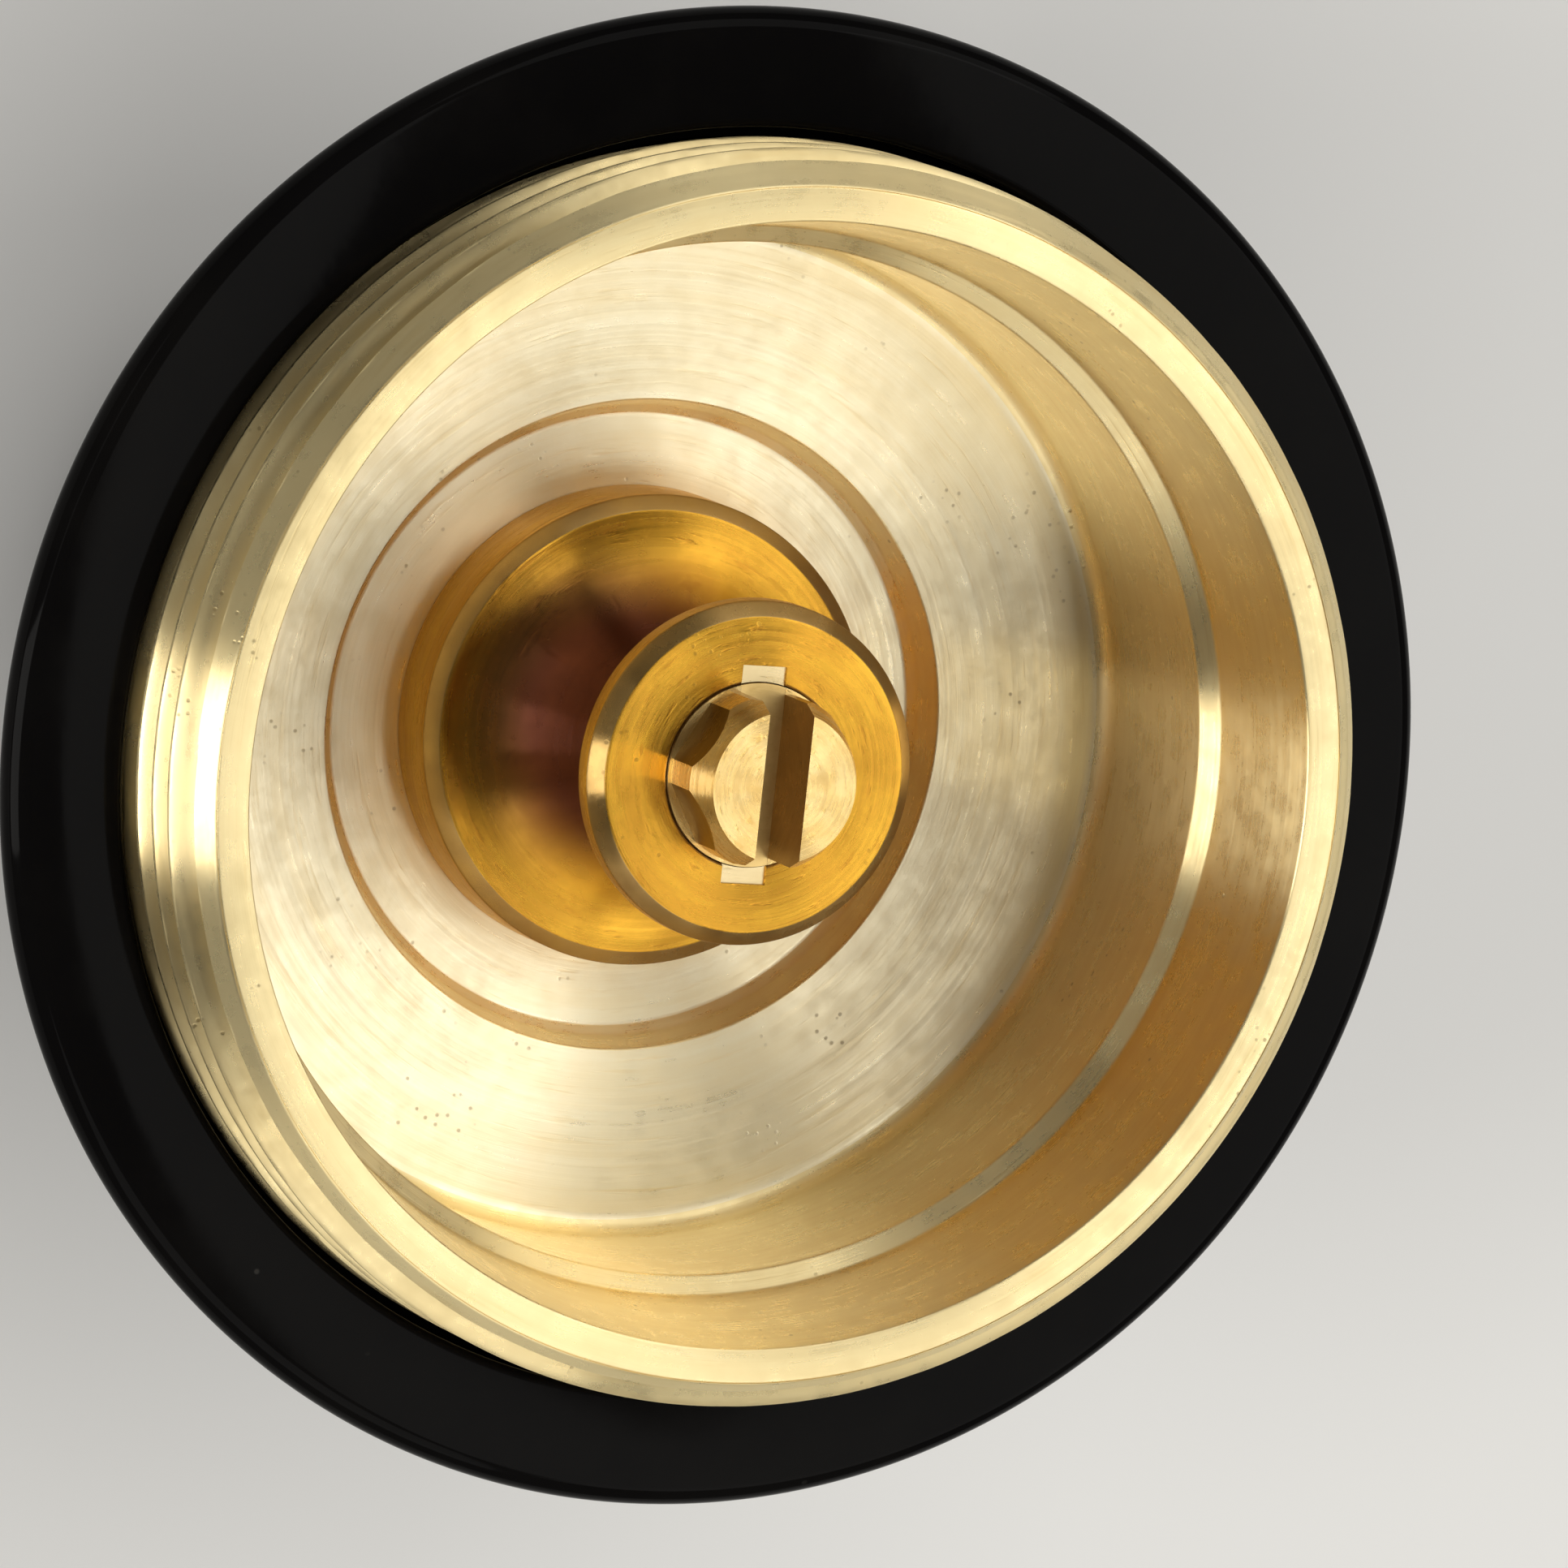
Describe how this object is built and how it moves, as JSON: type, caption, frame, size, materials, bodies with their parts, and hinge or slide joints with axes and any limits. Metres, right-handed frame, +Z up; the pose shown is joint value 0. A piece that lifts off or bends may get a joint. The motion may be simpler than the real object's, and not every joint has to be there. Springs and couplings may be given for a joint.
{
  "type": "threaded brass cup fitting",
  "caption": "Round black body with a threaded brass collar and a stepped cup; a waisted post on its floor carries a slotted adjusting screw that turns.",
  "frame": {"origin": "on the axis of the cup, in the plane of the foot that the body stands on", "axes": "+Z up along the axis, out of the cup's mouth; X and Y are free on this round part, and +X is within 14 degrees of the screw's slot at rest"},
  "size_m": [0.0504, 0.0504, 0.028],
  "materials": {
    "black_gloss": "polished black",
    "brass": "turned, bright",
    "post_brass": "turned, bright, more orange",
    "screw_brass": "turned and milled",
    "steel": "plain steel hardware"
  },
  "bodies": {
    "housing": {"outer_body": "black_gloss", "threaded_cup": "brass", "centre_post": "post_brass", "post_washer": "steel", "post_lock_washer": "steel", "post_nut": "steel", "screw_lock_nut": "steel", "base_cover": "black_gloss", "cover_screw_1": "steel", "cover_screw_2": "steel", "cover_screw_3": "steel"},
    "screw": {"adjusting_screw": "screw_brass"}
  },
  "joints": [
    {"name": "screw_turn", "type": "hinge", "parent": "housing", "child": "screw", "pos_m": [0, 0, 0.02521], "axis": [0, 0, 1], "range_deg": [-180, 180]}
  ]
}
